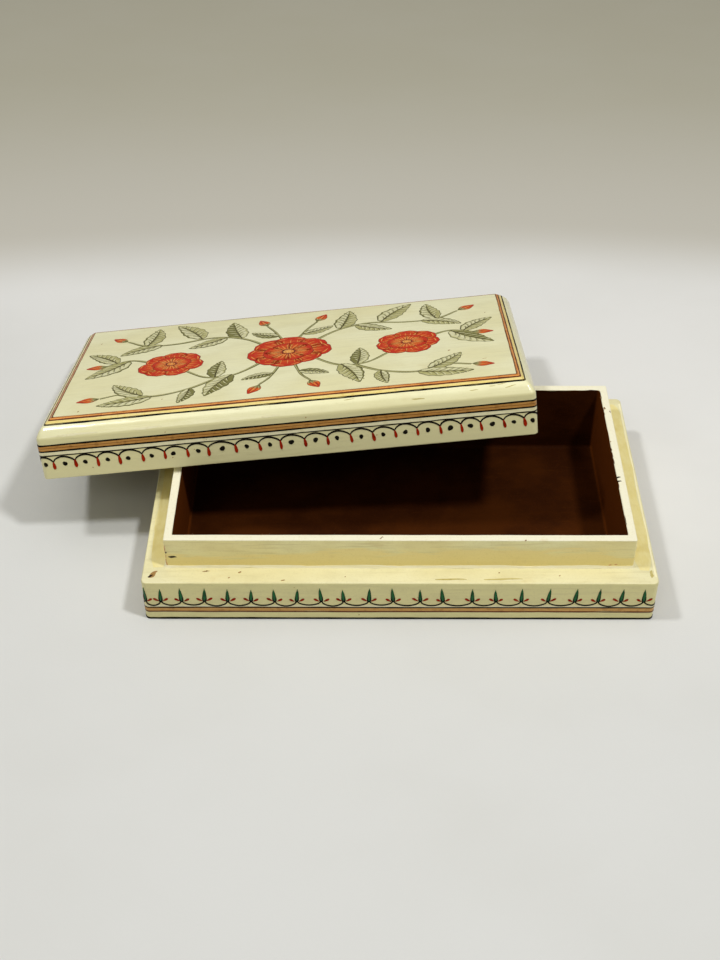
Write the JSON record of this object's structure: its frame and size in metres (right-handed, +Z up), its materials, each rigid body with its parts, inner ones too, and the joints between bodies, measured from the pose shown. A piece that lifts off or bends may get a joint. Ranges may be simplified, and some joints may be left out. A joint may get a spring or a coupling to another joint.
{
  "type": "papier mache box",
  "caption": "Flat rectangular painted papier mache box with a stepped collar and a lift-off lid, which lies tipped across the open base.",
  "frame": {"origin": "centre of the flat underside of the base", "axes": "+X to the right along the length of the base, +Y from its front to its back, +Z up"},
  "size_m": [0.2798, 0.1909, 0.0817],
  "materials": {
    "base_lacquer": "satin",
    "collar_paint": "satin",
    "lid_lacquer": "gloss"
  },
  "bodies": {
    "base": {"bottom_board": "base_lacquer", "base_front_board": "base_lacquer", "base_back_board": "base_lacquer", "base_left_board": "base_lacquer", "base_right_board": "base_lacquer", "collar_front": "collar_paint", "collar_back": "collar_paint", "collar_left": "collar_paint", "collar_right": "collar_paint"},
    "lid": {"lid_top_board": "lid_lacquer", "lid_front_board": "lid_lacquer", "lid_back_board": "lid_lacquer", "lid_left_board": "lid_lacquer", "lid_right_board": "lid_lacquer"}
  },
  "joints": [
    {"name": "lid_lift", "type": "slide", "parent": "base", "child": "lid", "axis": [0, 0, 1], "range_m": [0, 0.1]}
  ]
}
